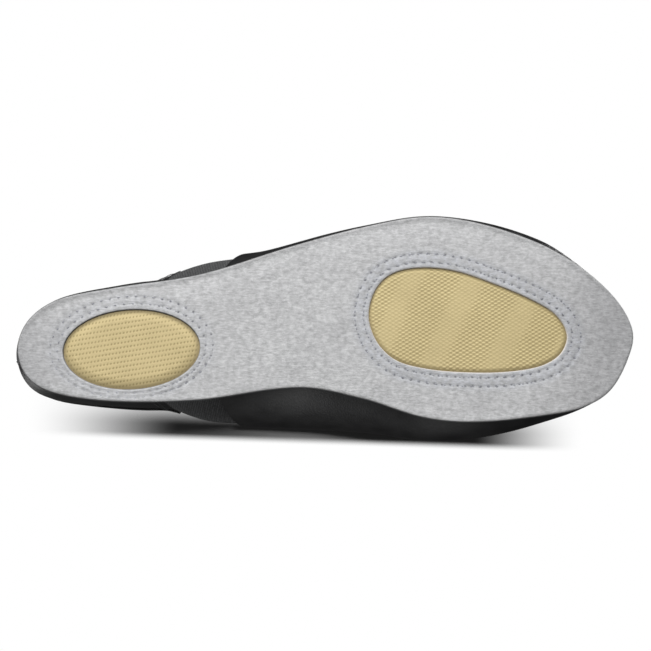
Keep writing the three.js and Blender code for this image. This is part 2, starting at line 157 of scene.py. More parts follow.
def insetPlan(angle, distance):
    # a spot set in from the sole's edge, at right angles to it
    e = 0.02
    dx = edgeX(angle + e) - edgeX(angle - e)
    dy = edgeY(angle + e) - edgeY(angle - e)
    n = np.hypot(dx, dy)
    return edgeX(angle) + dy / n * distance, edgeY(angle) - dx / n * distance


# the solids are centred over the origin, so the same shift is read off the sole's box
soleLow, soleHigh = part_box("outsole_suede")
ringY = edgeY(np.linspace(0, 2 * math.pi, 64, endpoint=False))
shiftX = (soleLow[0] + soleHigh[0]) / 2
shiftY = (soleLow[1] + soleHigh[1]) / 2 - (ringY.max() + ringY.min()) / 2 * mm


def place(x, y, z):
    # millimetres to metres, with the toe sprung up and the shoe centred
    rise = shoe["toeSpring"] * np.clip((x - shoe["springStart"]) / (halfLength - shoe["springStart"]), 0, 1)**2
    x, y, z = np.broadcast_arrays(x, y, z + rise)
    return np.stack([x * mm + shiftX, y * mm + shiftY, z * mm], axis=-1)


def bareWall(angle, step):
    # from the sole's edge (step 0) to the ridge (step 1) on a superellipse quarter: inwards by the cosine and
    # up by the sine of a quarter turn, each to a power; low down it swells out by step times (1 - step) squared
    share = shareOf(angle)
    x0, y0 = insetPlan(angle, shoe["wallInset"])
    x1 = edgeX(angle) * shoe["ridgeShrink"]
    y1 = middleY(angle) + shoe["ridgeShift"]
    turn = step * math.pi / 2
    across = np.clip(np.cos(turn), 0, 1)**shoe["power"]
    up = np.clip(np.sin(turn), 0, 1)**shoe["power"]
    reach = np.hypot(x0 - x1, y0 - y1)
    swell = np.where(np.mod(angle, 2 * math.pi) < math.pi, smoothCurve(archSwell, share),
                     smoothCurve(outerSwell, share))
    out = across + swell / reach * 6.75 * step * (1 - step)**2  # 6.75 makes the bulge's peak 1
    ridge = shoe["instep"] * smoothCurve(ridgeHeights, share)
    return np.stack(np.broadcast_arrays(
        x1 + (x0 - x1) * out, y1 + (y0 - y1) * out,
        shoe["wallBase"] + (ridge - shoe["wallBase"]) * up), axis=-1)


def wallNormal(angle, step):
    # at right angles to the wall by small steps along and up it; near the ridge it eases to the ridge's own
    e = 0.002
    low = np.clip(step, 0.01, 0.99)
    roundWay = bareWall(angle + e, low) - bareWall(angle - e, low)
    upWay = bareWall(angle, low + e) - bareWall(angle, low - e)
    side = np.cross(upWay, roundWay)
    a = np.clip(foldAngle(angle), 0.2, math.pi - 0.2)
    along = bareWall(a + 0.05, np.ones_like(a)) - bareWall(a - 0.05, np.ones_like(a))
    across = bareWall(-a, np.full_like(a, 0.97)) - bareWall(a, np.full_like(a, 0.97))
    top = np.cross(across, along)
    return unit(mix(unit(side), unit(top), smoothStep(0.9, 0.99, step)[..., None]))


def wall(angle, step, depth):
    # the upper's surface at a depth under its outer face; a negative depth stands proud
    angle, step, depth = np.broadcast_arrays(np.asarray(angle, float), np.asarray(step, float),
                                             np.asarray(depth, float))
    p = bareWall(angle, step) - wallNormal(angle, step) * depth[..., None]
    return place(p[..., 0], p[..., 1], np.maximum(p[..., 2], shoe["wallBase"]))


def stepAt(angle, z):
    # the step where the wall is this high: the arc sine that undoes the superellipse
    ridge = shoe["instep"] * smoothCurve(ridgeHeights, shareOf(angle))
    up = np.clip((z - shoe["wallBase"]) / (ridge - shoe["wallBase"]), 0, 1)
    return np.arcsin(up**(1 / shoe["power"])) * 2 / math.pi


def topStep(angle, extra=0.0):
    # the step on the top line, or a little over or under it
    return stepAt(angle, shoe["heelHeight"] * smoothCurve(topline, shareOf(angle)) + extra)


def windowLoop(name, count):
    # points and outward directions round a window, evenly spaced by length: the heel's is a turned ellipse, the
    # ball's a smooth closed curve through its points
    if name == "heel":
        a = np.linspace(0, 2 * math.pi, 2000, endpoint=False)
        c, s = math.cos(heelWindow["turn"]), math.sin(heelWindow["turn"])
        lx, ly = heelWindow["halfLength"] * np.cos(a), heelWindow["halfWidth"] * np.sin(a)
        pts = np.stack([heelWindow["x"] + lx * c - ly * s, heelWindow["y"] + lx * s + ly * c], axis=-1)
    else:
        knots = np.array(ballWindow, float)
        gaps = np.linalg.norm(np.roll(knots, -1, axis=0) - knots, axis=1)**0.5
        at = np.concatenate([[0], np.cumsum(gaps)])
        wide = np.concatenate([at[-4:-1] - at[-1], at, at[1:4] + at[-1]])
        ring = np.concatenate([knots[-3:], knots, knots[:1], knots[1:4]])
        q = np.linspace(0, at[-1], 2000, endpoint=False)
        pts = np.stack([smoothCurve(list(zip(wide, ring[:, k])), q) for k in (0, 1)], axis=-1)
    steps = np.linalg.norm(np.roll(pts, -1, axis=0) - pts, axis=1)
    length = np.concatenate([[0], np.cumsum(steps)])
    q = np.arange(count) / count * length[-1]
    closed = np.concatenate([pts, pts[:1]])
    out = np.stack([np.interp(q, length, closed[:, k]) for k in (0, 1)], axis=-1)
    ahead = np.roll(out, -1, axis=0) - np.roll(out, 1, axis=0)
    normal = unit(np.stack([ahead[:, 1], -ahead[:, 0]], axis=-1))
    middle = out.mean(axis=0)
    if np.sum((out - middle) * normal) < 0:
        normal = -normal
    return out, normal, length[-1]


def rowPull(name, normal):
    # 1 where a row keeps its distance, less where the heel's rows draw in towards the arch side
    return 1 - 0.35 * np.clip(normal[:, 1], 0, 1) if name == "heel" else np.ones(len(normal))


def stitchLoop(name, distance, count):
    # a stitch row beside a window; the heel's rows draw in where the sole's arch edge is close
    pts, normal, _ = windowLoop(name, count)
    return pts + normal * (distance * rowPull(name, normal))[:, None], normal


def nearest(points, loop):
    # distance from each point to the closest spot of a loop, and which spot that is, in blocks to save memory
    found, which = np.empty(len(points)), np.empty(len(points), int)
    for start in range(0, len(points), 4000):
        block = points[start:start + 4000]
        gaps = ((block[:, None] - loop[None])**2).sum(-1)
        which[start:start + 4000] = gaps.argmin(1)
        found[start:start + 4000] = np.sqrt(gaps.min(1))
    return found, which


# making mesh pieces

def putMesh(name, verts, faces, material, weld=0.0, uv=None, marks=None, flip=False, outwards=False):
    # a piece from points and faces, with its map and its marks kept on the points
    mesh = bpy.data.meshes.new(name)
    mesh.from_pydata(verts.reshape(-1, 3).tolist(), [], faces if isinstance(faces, list) else faces.tolist())
    mesh.update()
    if uv is not None:
        layer = mesh.uv_layers.new(name="clothMap")
        index = np.empty(len(mesh.loops), int)
        mesh.loops.foreach_get("vertex_index", index)
        layer.data.foreach_set("uv", uv.reshape(-1, 2)[index].astype(np.float32).ravel())
    for word, values in (marks or {}).items():
        mark = mesh.attributes.new(word, "FLOAT", "POINT")
        mark.data.foreach_set("value", np.asarray(values, np.float32).ravel())
    work = bmesh.new()
    work.from_mesh(mesh)
    if weld > 0:
        bmesh.ops.remove_doubles(work, verts=work.verts, dist=weld)
    loose = [v for v in work.verts if not v.link_faces]
    bmesh.ops.delete(work, geom=loose, context="VERTS")
    if flip:
        bmesh.ops.reverse_faces(work, faces=work.faces)
    if outwards:
        bmesh.ops.recalc_face_normals(work, faces=work.faces)
    work.to_mesh(mesh)
    work.free()
    mesh.shade_smooth()
    piece = bpy.data.objects.new(name, mesh)
    bpy.context.scene.collection.objects.link(piece)
    piece.data.materials.append(material)
    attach(piece, "root")
    return piece


def gridFaces(rows, columns, closed=False):
    # quads of a grid whose rows run one way; closed joins the last row to the first
    i = np.arange(rows if closed else rows - 1)
    j = np.arange(columns - 1)
    a = (i[:, None] * columns + j).ravel()
    b = ((i[:, None] + 1) % rows * columns + j).ravel()
    return np.stack([a, b, b + 1, a + 1], axis=-1)


def giveThickness(piece, thickness, offset=-1.0):
    solid = piece.modifiers.new("thickness", "SOLIDIFY")
    solid.thickness = thickness * mm
    solid.offset = offset
    solid.use_even_offset = False
    solid.use_rim = True


def stitchRow(name, path, normal, material, settings):
    # threads laid end to end on a path: six-sided tubes that taper at both ends, bowed into the surface as
    # the root of a sine
    length = np.concatenate([[0], np.cumsum(np.linalg.norm(np.diff(path, axis=0), axis=1))])
    count = int(length[-1] / (settings["pitch"] * mm))
    each, radius = length[-1] / count, settings["radius"]
    taper, sides = np.array([0.25, 0.85, 1, 1, 0.85, 0.25]), 6
    rings = len(taper)
    t = np.linspace(0, 1, rings)
    starts = (np.arange(count) + 0.5 * (1 - settings["fill"])) * each
    where = (starts[:, None] + t * settings["fill"] * each).ravel()

    def sample(track, at):
        return np.stack([np.interp(at, length, track[:, k]) for k in range(3)], axis=-1)

    up = unit(sample(normal, where))
    side = np.cross(unit(sample(path, where + 0.2 * mm) - sample(path, where - 0.2 * mm)), up)
    bow = np.tile(np.sin(np.pi * t)**0.5, count)
    rise = (bow - 1) * radius * 1.6 - settings["sink"] + radius * 0.4
    centre = sample(path, where) + up * rise[:, None] * mm
    ring = np.linspace(0, 2 * math.pi, sides, endpoint=False)
    verts = centre[:, None] + (np.cos(ring)[None, :, None] * side[:, None]
                               + np.sin(ring)[None, :, None] * up[:, None]) \
        * (np.tile(taper, count) * radius * mm)[:, None, None]
    base = (np.arange(count)[:, None, None] * rings + np.arange(rings - 1)[None, :, None]) * sides
    k = np.arange(sides)
    kn = (k + 1) % sides
    walls = np.stack([base + k, base + kn, base + sides + kn, base + sides + k], axis=-1).reshape(-1, 4)
    first = np.arange(count)[:, None] * rings * sides
    caps = np.concatenate([first + k[::-1], first + (rings - 1) * sides + k])
    return putMesh(name, verts, walls.tolist() + caps.tolist(), material, outwards=True)


# materials

def newMaterial(name, **settings):
    material = bpy.data.materials.new(name)
    material.use_nodes = True
    tree = material.node_tree
    shader = tree.nodes["Principled BSDF"]
    for socket, value in settings.items():
        shader.inputs[socket.replace("_", " ")].default_value = value
    return material, tree, shader


def addNode(tree, kind, values=None, links=None, **settings):
    node = tree.nodes.new("ShaderNode" + kind)
    for word, value in settings.items():
        setattr(node, word, value)
    for socket, value in (values or {}).items():
        node.inputs[socket].default_value = value
    for socket, source in (links or {}).items():
        tree.links.new(source, node.inputs[socket])
    return node


def newGroup(name, inputs, outputs):
    tree = bpy.data.node_groups.new(name, "ShaderNodeTree")
    come, go = tree.nodes.new("NodeGroupInput"), tree.nodes.new("NodeGroupOutput")
    tree.interface.new_socket(name="Vector", in_out="INPUT", socket_type="NodeSocketVector")
    for word, value in inputs.items():
        socket = tree.interface.new_socket(name=word, in_out="INPUT", socket_type="NodeSocketFloat")
        socket.default_value = value
    for word in outputs:
        tree.interface.new_socket(name=word, in_out="OUTPUT", socket_type="NodeSocketFloat")
    return tree, come, go


def noise(tree, vector, scale, detail, **more):
    values = {"Detail": detail, **more}
    links = {"Vector": vector}
    (links if isinstance(scale, bpy.types.NodeSocket) else values)["Scale"] = scale
    return addNode(tree, "TexNoise", values, links).outputs["Fac"]


def blend(tree, first, second, share):
    node = addNode(tree, "Mix", {"Factor": share}, {"A": first, "B": second}, data_type="FLOAT")
    return node.outputs[0]


def maths(tree, how, first, second=None, add=None):
    # each value is a socket or a number
    node = addNode(tree, "Math", operation=how)
    for socket, source in zip(node.inputs, (first, second, add)):
        if isinstance(source, bpy.types.NodeSocket):
            tree.links.new(source, socket)
        elif source is not None:
            socket.default_value = source
    return node.outputs[0]


def mapRange(tree, source, **values):
    names = {"fromMin": "From Min", "fromMax": "From Max", "toMin": "To Min", "toMax": "To Max"}
    return addNode(tree, "MapRange", {names[word]: value for word, value in values.items()},
                   {"Value": source})


def ramp(tree, source, stops):
    node = tree.nodes.new("ShaderNodeValToRGB")
    tree.links.new(source, node.inputs[0])
    marks = node.color_ramp.elements
    while len(marks) < len(stops):
        marks.new(0.5)
    for mark, (at, colour) in zip(marks, stops):
        mark.position = at
        mark.color = (*colour, 1)
    return node.outputs[0]


def napGroup():
    # brushed fibres: short streaks along the shoe, small tufts and wide cloudy patches
    tree, come, go = newGroup("brushedNap", {"Fibre": 900.0, "Patch": 60.0}, ("Shade", "Height"))
    where = come.outputs["Vector"]
    stretch = addNode(tree, "Mapping", {"Scale": (0.3, 1.0, 1.0)}, {"Vector": where})
    fibre = noise(tree, stretch.outputs[0], come.outputs["Fibre"], 5.0, Roughness=0.7)
    patch = noise(tree, where, come.outputs["Patch"], 6.0, Roughness=0.62, Distortion=0.4)
    tree.links.new(blend(tree, fibre, patch, 0.45), go.inputs["Shade"])
    tree.links.new(fibre, go.inputs["Height"])
    return tree


def grainGroup():
    # leather: pebbles of uneven size with fine creases between them
    tree, come, go = newGroup("leatherGrain", {"Pebble": 900.0, "Crease": 120.0}, ("Height", "Wear"))
    warp = noise(tree, come.outputs["Vector"], come.outputs["Crease"], 2.0)
    pebble = addNode(tree, "TexVoronoi", None, {"Vector": come.outputs["Vector"],
                                                          "Scale": come.outputs["Pebble"]},
                     feature="DISTANCE_TO_EDGE")
    edge = mapRange(tree, pebble.outputs["Distance"], fromMax=0.25).outputs[0]
    tree.links.new(blend(tree, edge, warp, 0.45), go.inputs["Height"])
    tree.links.new(warp, go.inputs["Wear"])
    return tree


def weaveGroup():
    # two crossed sets of rounded threads over the cloth's own map, plus fuzz
    tree, come, go = newGroup("threadWeave", {"Warp": 700.0, "Weft": 1200.0}, ("Height",))
    split = addNode(tree, "SeparateXYZ", None, {"Vector": come.outputs["Vector"]})
    waves = [maths(tree, "SINE", maths(tree, "MULTIPLY", maths(
        tree, "MULTIPLY", split.outputs[axis], come.outputs[word]), 2 * math.pi))
        for axis, word in (("X", "Warp"), ("Y", "Weft"))]
    ribs = maths(tree, "MULTIPLY_ADD", maths(tree, "MULTIPLY", *waves), 0.5, 0.5)
    fuzz = noise(tree, come.outputs["Vector"], 1500.0, 3.0)
    tree.links.new(blend(tree, ribs, fuzz, 0.3), go.inputs["Height"])
    return tree


nap, grain, weave = napGroup(), grainGroup(), weaveGroup()


def bump(tree, shader, height, strength, distance):
    node = addNode(tree, "Bump", {"Strength": strength, "Distance": distance}, {"Height": height})
    tree.links.new(node.outputs[0], shader.inputs["Normal"])


def mapOf(tree, kind="Object"):
    return addNode(tree, "TexCoord").outputs[kind]


def markOf(tree, word):
    return addNode(tree, "Attribute", attribute_name=word).outputs["Fac"]


def mixColour(tree, factor, first, second, how="MIX"):
    # either colour may be a socket or a plain colour; the factor is a socket or a number
    node = addNode(tree, "Mix", data_type="RGBA", blend_type=how)
    for socket, source in ((node.inputs["Factor"], factor), (node.inputs[6], first), (node.inputs[7], second)):
        if isinstance(source, bpy.types.NodeSocket):
            tree.links.new(source, socket)
        elif isinstance(source, tuple):
            socket.default_value = (*source, 1)
        else:
            socket.default_value = source
    return node.outputs[2]


suedeLook = {"dark": (0.184, 0.185, 0.186), "mid": (0.245, 0.246, 0.248), "light": (0.31, 0.311, 0.313),
             "band": (0.91, 0.925, 0.965), "hole": (0.085, 0.088, 0.098), "cut": (0.42, 0.395, 0.375),
             "endTone": (0.77, 0.77, 0.775), "dyeAndShade": (0.012, 0.012, 0.013)}


def suedeMaterial(name, look):
    material, tree, shader = newMaterial(name, Roughness=0.95, Sheen_Weight=0.15, Sheen_Roughness=0.6,
                                         Specular_IOR_Level=0.15)
    where = mapOf(tree)
    fibres = addNode(tree, "Group", {"Fibre": 1250.0, "Patch": 420.0}, {"Vector": where},
                     node_tree=nap)
    shades = [(0.38, look["dark"]), (0.5, look["mid"]), (0.62, look["light"])]
    colour = ramp(tree, fibres.outputs["Shade"], shades)
    tone = ramp(tree, noise(tree, where, 38.0, 5.0, Roughness=0.6),
                [(0.3, (0.93, 0.93, 0.932)), (0.7, (1.05, 1.05, 1.05))])
    colour = mixColour(tree, 1.0, colour, tone, "MULTIPLY")
    # dust in the seam's channel, in patches
    patchy = mapRange(tree, noise(tree, where, 420.0, 3.0), fromMin=0.35, fromMax=0.65, toMin=0.3, toMax=1.0)
    dusty = maths(tree, "MULTIPLY", markOf(tree, "seamBand"), patchy.outputs[0])
    colour = mixColour(tree, dusty, colour, look["band"], "MULTIPLY")
    # the cut colour is paler with a painted highlight; the dye colour darkens the dyed rim and also paints
    # shade on the heel window's cut edge
    for mark, word, how in (("needleHole", "hole", "MIX"), ("cutEdge", "cut", "MIX"),
                            ("endDarkening", "endTone", "MULTIPLY"), ("edgeDyeAndShade", "dyeAndShade", "MIX")):
        colour = mixColour(tree, markOf(tree, mark), colour, look[word], how)
    tree.links.new(colour, shader.inputs["Base Color"])
    bump(tree, shader, fibres.outputs["Height"], 0.5, 0.0005)
    return material


rubberLook = {"ballRubber": {"valleyShade": (0.215, 0.172, 0.081), "crest": (0.326, 0.27, 0.14)},
              "heelRubber": {"valleyShade": (0.165, 0.132, 0.058), "crest": (0.29, 0.236, 0.12)}}


def rubberMaterial(name, look):
    material, tree, shader = newMaterial(name, Roughness=0.72, Specular_IOR_Level=0.3)
    # painted shade in the relief's valleys, which take a darker colour than the crests
    colour = ramp(tree, markOf(tree, "relief"), [(0.05, look["valleyShade"]), (0.85, look["crest"])])
    tone = ramp(tree, noise(tree, mapOf(tree), 45.0, 5.0),
                [(0.3, (0.93, 0.925, 0.91)), (0.7, (1.04, 1.04, 1.04))])
    colour = mixColour(tree, 1.0, colour, tone, "MULTIPLY")
    rim = mixColour(tree, markOf(tree, "edgeShade"), colour, (0.14, 0.11, 0.055))
    tree.links.new(rim, shader.inputs["Base Color"])
    bump(tree, shader, noise(tree, mapOf(tree), 2200.0, 3.0), 0.25, 0.0002)
    return material


leatherLook = {
    "blackLeather": {"dark": (0.007, 0.007, 0.0075), "light": (0.013, 0.013, 0.0135), "roughness": 0.4,
                     "pebble": 850.0},
    "heelStrip": {"dark": (0.055, 0.056, 0.059), "light": (0.095, 0.096, 0.10), "roughness": 0.6,
                  "pebble": 1200.0}}


def leatherMaterial(name, look):
    material, tree, shader = newMaterial(name, Specular_IOR_Level=0.17)
    skin = addNode(tree, "Group", {"Pebble": look["pebble"], "Crease": 90.0}, {"Vector": mapOf(tree)},
                   node_tree=grain)
    wear = skin.outputs["Wear"]
    tree.links.new(ramp(tree, wear, [(0.35, look["dark"]), (0.7, look["light"])]), shader.inputs["Base Color"])
    rough = mapRange(tree, wear, toMin=look["roughness"] - 0.07, toMax=look["roughness"] + 0.09)
    tree.links.new(rough.outputs[0], shader.inputs["Roughness"])
    bump(tree, shader, skin.outputs["Height"], 0.22, 0.00025)
    return material


# threads gives how many of each set there are to a metre
clothLook = {
    "elasticWeb": {"dark": (0.014, 0.0145, 0.015), "light": (0.05, 0.051, 0.053), "threads": (670.0, 900.0),
                   "roughness": 0.85, "bump": 0.8, "map": "UV", "ribbed": True},
    "foldedTape": {"dark": (0.008, 0.008, 0.009), "light": (0.026, 0.026, 0.028), "threads": (1400.0, 900.0),
                   "roughness": 0.7, "bump": 0.5, "map": "UV", "ribbed": False},
    "tricotLining": {"dark": (0.06, 0.06, 0.064), "light": (0.14, 0.14, 0.147), "threads": (900.0, 900.0),
                     "roughness": 0.9, "bump": 0.5, "map": "UV", "ribbed": False},
    "greyThread": {"dark": (0.14, 0.145, 0.165), "light": (0.22, 0.225, 0.25), "threads": (2500.0, 2500.0),
                   "roughness": 0.8, "bump": 0.3, "map": "Object", "ribbed": False},
    "blackThread": {"dark": (0.012, 0.012, 0.013), "light": (0.05, 0.05, 0.052), "threads": (2500.0, 2500.0),
                    "roughness": 0.6, "bump": 0.3, "map": "Object", "ribbed": False}}


def clothMaterial(name, look):
    material, tree, shader = newMaterial(name, Roughness=look["roughness"], Sheen_Weight=0.05,
                                         Specular_IOR_Level=0.12)
    threads = addNode(tree, "Group", dict(zip(("Warp", "Weft"), look["threads"])),
                      {"Vector": mapOf(tree, look["map"])}, node_tree=weave).outputs["Height"]
    colour = ramp(tree, threads, [(0.3, look["dark"]), (0.7, look["light"])])
    if look["ribbed"]:
        # painted light on the ribs' crests and painted shade in the valleys between them, made uneven by fuzz
        uneven = maths(tree, "MULTIPLY", markOf(tree, "ribLightAndShade"), noise(tree, mapOf(tree), 900.0, 2.0))
        ribs = ramp(tree, uneven, [(0.1, (0.25, 0.25, 0.25)), (0.55, (1.7, 1.7, 1.7))])
        colour = mixColour(tree, 1.0, colour, ribs, "MULTIPLY")
    tree.links.new(colour, shader.inputs["Base Color"])
    bump(tree, shader, threads, look["bump"], 0.0004)
    return material


layerLook = {
    "sockCloth": {"dark": (0.16, 0.16, 0.165), "light": (0.3, 0.3, 0.305), "fibre": 1500.0, "roughness": 0.95},
    "foamSheet": {"dark": (0.68, 0.64, 0.55), "light": (0.80, 0.77, 0.69), "fibre": 2000.0, "roughness": 0.9},
    "fibreBoard": {"dark": (0.28, 0.20, 0.11), "light": (0.42, 0.32, 0.19), "fibre": 700.0, "roughness": 0.85},
    "stiffener": {"dark": (0.40, 0.35, 0.26), "light": (0.52, 0.47, 0.37), "fibre": 1100.0, "roughness": 0.9}}


def layerMaterial(name, look):
    material, tree, shader = newMaterial(name, Roughness=look["roughness"], Specular_IOR_Level=0.2)
    fibres = addNode(tree, "Group", {"Fibre": look["fibre"], "Patch": look["fibre"] / 8},
                     {"Vector": mapOf(tree)}, node_tree=nap)
    colour = ramp(tree, fibres.outputs["Shade"], [(0.35, look["dark"]), (0.65, look["light"])])
    tree.links.new(colour, shader.inputs["Base Color"])
    bump(tree, shader, fibres.outputs["Height"], 0.4, 0.0004)
    return material


finish = {"greySuede": suedeMaterial("greySuede", suedeLook)}
for make, looks in ((rubberMaterial, rubberLook), (leatherMaterial, leatherLook), (clothMaterial, clothLook),
                    (layerMaterial, layerLook)):
    finish.update({name: make(name, look) for name, look in looks.items()})

# hidden layers keep their solids and take their own finish
hiddenFinish = {"sole_foam": "foamSheet", "insole_board": "fibreBoard", "heel_pad": "foamSheet",
                "toe_puff": "stiffener", "heel_counter": "stiffener"}
for nodeName, finishName in hiddenFinish.items():
    solid = next(o for o in bpy.data.objects if o.name == nodeName)
    solid.data.materials.clear()
    solid.data.materials.append(finish[finishName])
print("materials ready")


# sole; stitch rows are given by their distance from the window's edge
stitching = {"forefoot": (2.3, 6.2), "heel": (2.6, 5.9), "holeWidth": 0.42, "holeDepth": 0.45, "wander": 0.12,
             "channel": 0.2, "channelWidth": 0.75,
             "thread": {"pitch": 3.9, "fill": 0.3, "radius": 0.2, "sink": -0.05}}
soleSettings = {"flat": 0.25, "edge": 3.6, "joinX": -22, "rounds": {"heel": 352, "forefoot": 552},
                "joinRows": 88, "nearRows": 24, "nearSpan": 8.5, "farRows": 22, "wave": 0.16, "rimRows": 27,
                "roll": 1.0, "rollWidth": 6.5, "gathers": 0.1, "weld": 2e-5,
                # inset and height: from the flat face round to the top of the rim and down its inside
                "rim": [(3.6, 0), (2.6, 0.0), (1.7, 0.02), (0.95, 0.16), (0.4, 0.55), (0.08, 1.2), (0.0, 2.4),
                        (0.1, 3.7), (0.5, 4.8), (1.3, 5.2), (2.0, 4.8), (2.1, 3.4), (2.6, 2.4)],
                # the cut edge rolls over and turns up into the window: how far in, and how high
                "cut": [(0, 0), (0.2, 0.08), (0.42, 0.32), (0.58, 0.75), (0.62, 1.3), (0.62, 2.0)]}
windowEdges = {n: windowLoop(n, 700) for n in ("forefoot", "heel")}


def holeSpots():
    # one needle hole per stitch, each a touch off the row as a sine of its number
    holes = []
    for name in ("forefoot", "heel"):
        for row in stitching[name]:
            count = int((windowEdges[name][2] + 2 * math.pi * row) / stitching["thread"]["pitch"])
            spots, normal = stitchLoop(name, row, count)
            holes.append(spots + normal * (stitching["wander"] * np.sin(np.arange(count) * 2.4))[:, None])
    return np.concatenate(holes)


needleHoles = holeSpots()
outerTurn = np.linspace(-2.7, -0.15, 200)
outerLine = np.stack([edgeX(outerTurn), edgeY(outerTurn)], axis=-1)


def suedeFace(x, y):
    # height of the face over the floor: slow waves (sine of x times cosine of y, plus a sine across both),
    # and a bell curve of the distance for each stitch row's channel, each needle hole, the window's edge
    # and the roll
    spots = np.stack([x.ravel(), y.ravel()], axis=-1)
    wave = soleSettings["wave"]
    rise = soleSettings["flat"] + wave * np.sin(spots[:, 0] / 17 + 1.3) * np.cos(spots[:, 1] / 13) \
        + 0.6 * wave * np.sin(spots[:, 0] / 7.1 + spots[:, 1] / 9.3)
    band = np.zeros(len(spots))
    for name, tint in (("forefoot", 1.0), ("heel", 0.45)):
        loop, normal, _ = windowEdges[name]
        near, which = nearest(spots, loop)
        rise += 0.2 * np.exp(-(near / 0.5)**2)
        pull = rowPull(name, normal)[which]
        for row in stitching[name]:
            rise += stitching["channel"] * np.exp(-((near - row * pull) / stitching["channelWidth"])**2)
        high = stitching[name][1] * pull
        band = np.maximum(band, tint * (1 - smoothStep(high - 0.5, high + 3.5, near)))
    toHole = nearest(spots, needleHoles)[0] / stitching["holeWidth"]
    # the holes have closed up round the back of the heel
    openHole = 0.25 + 0.75 * smoothStep(-84, -66, spots[:, 0])
    rise += openHole * stitching["holeDepth"] * np.exp(-toHole**2)
    hole = openHole * np.exp(-toHole**4)
    outward = nearest(spots, outerLine)[0]
    rise += soleSettings["roll"] * np.exp(-(outward / soleSettings["rollWidth"])**2)
    return np.clip(rise, 0.02, None).reshape(x.shape), band.reshape(x.shape), hole.reshape(x.shape)


def polarRadius(name, alpha):
    # the window edge's distance from its middle in each direction
    loop = windowLoop(name, 3000)[0]
    rel = loop - windowEdges[name][0].mean(axis=0)
    a = np.arctan2(rel[:, 1], rel[:, 0])
    order = np.argsort(a)
    return np.interp(alpha, a[order], np.hypot(rel[:, 0], rel[:, 1])[order], period=2 * math.pi)


def soleBlock(name, angles, joinPoints):
    # rays from the window's middle, from its cut edge out to the sole's rounding or to the line where the
    # halves meet; rows are close together over the stitching and wider beyond it
    edge = np.stack(insetPlan(angles, soleSettings["edge"]), axis=-1)
    centre = windowEdges[name][0].mean(axis=0)
    rel = np.concatenate([edge, joinPoints]) - centre
    alpha = np.arctan2(rel[:, 1], rel[:, 0])
    outer = np.hypot(rel[:, 0], rel[:, 1])[:, None]
    inner = polarRadius(name, alpha)[:, None] + 0.5
    near, far = np.linspace(0, 1, soleSettings["nearRows"]), np.linspace(0, 1, soleSettings["farRows"])[1:]
    middle = inner + np.minimum(soleSettings["nearSpan"], (outer - inner) * 0.75)
    r = np.concatenate([mix(inner, middle, near), mix(middle, outer, far**1.3)], axis=1)
    cut = np.array(soleSettings["cut"])
    direction = np.stack([np.cos(alpha), np.sin(alpha)], axis=-1)[:, None]
    return centre + direction * r[..., None], centre + direction * (inner - cut[:, 0])[..., None], cut[:, 1]


def makeSole():
    turn = np.linspace(0.6, 2.4, 4000)
    half = turn[np.argmin(np.abs(edgeX(turn) - soleSettings["joinX"]))]
    rounds = soleSettings["rounds"]
    angles = {"heel": np.linspace(-half, half, rounds["heel"]),
              "forefoot": np.linspace(half, 2 * math.pi - half, rounds["forefoot"])}
    ends = np.stack(insetPlan(np.array([half, -half]), soleSettings["edge"]), axis=-1)
    line = mix(ends[0], ends[1], np.linspace(0, 1, soleSettings["joinRows"] + 2)[1:-1, None])
    verts, faces, start = [], [], 0
    marks = {"seamBand": [], "needleHole": [], "cutEdge": [], "endDarkening": [], "edgeDyeAndShade": []}

    def addGrid(points, band, hole, cut=0.0, dyeAndShade=0.0, flip=False):
        nonlocal start
        quads = gridFaces(*points.shape[:2], closed=True)
        verts.append(points.reshape(-1, 3))
        faces.append((quads[:, ::-1] if flip else quads) + start)
        # darker towards the toe and heel ends
        endTone = smoothStep(0.1, 0.14, np.abs(points[..., 0]))
        for kept, values in zip(marks.values(), (band, hole, cut, endTone, dyeAndShade)):
            kept.append(np.broadcast_to(values, points.shape[:2]).ravel())
        start += points.shape[0] * points.shape[1]

    for name, join in (("heel", line), ("forefoot", line[::-1])):
        face, cutEdge, cutRise = soleBlock(name, angles[name], join)
        z, band, hole = suedeFace(face[..., 0], face[..., 1])
        addGrid(place(face[..., 0], face[..., 1], z), band, hole)
        cutZ = np.minimum(z[:, :1] + cutRise, shoe["suede"])
        # the cut shows paler at the ball, its raw colour with a painted highlight; at the heel it takes the
        # dark dye colour as painted shade
        shown = smoothStep(0.02, 0.5, cutRise)
        pale = name == "forefoot"
        addGrid(place(cutEdge[..., 0], cutEdge[..., 1], cutZ), 0.0, 0.0, shown if pale else 0.0,
                0.0 if pale else 0.9 * shown, flip=True)
    # the turned edge follows its section; q counts the section's points
    knots = list(enumerate(soleSettings["rim"]))
    q = np.linspace(0, len(knots) - 1, soleSettings["rimRows"])
    ring = np.concatenate([angles["heel"], angles["forefoot"][1:-1]])
    ex, ey = insetPlan(ring[:, None], smoothCurve([(k, v[0]) for k, v in knots], q)[None, :])
    rise, band, hole = suedeFace(ex, ey)
    onFace = 1 - smoothStep(0.5, 5.0, q)
    # small gathers, a sine of the angle, where the suede is pulled round the toe
    gathers = soleSettings["gathers"] * np.sin(ring * 120)[:, None] * smoothStep(3, 6, q)[None] * smoothStep(
        0.8, 0.97, shareOf(ring))[:, None]
    z = smoothCurve([(k, v[1]) for k, v in knots], q) + rise * onFace + gathers
    # the edge is dyed dark from just above the face, but for the toe where the suede wraps further
    wrapped = smoothStep(0.86, 0.95, shareOf(ring))[:, None]
    dyeAndShade = smoothStep(3.6, 4.6, q)[None, :] * (1 - wrapped) + smoothStep(5.5, 6.5, q)[None, :] * wrapped
    addGrid(place(ex, ey, z), band * onFace, hole * onFace, dyeAndShade=dyeAndShade)
    piece = putMesh("suedeSole", np.concatenate(verts), np.concatenate(faces),
                    finish["greySuede"], weld=soleSettings["weld"],
                    marks={word: np.concatenate(values) for word, values in marks.items()})
    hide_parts("outsole_suede")


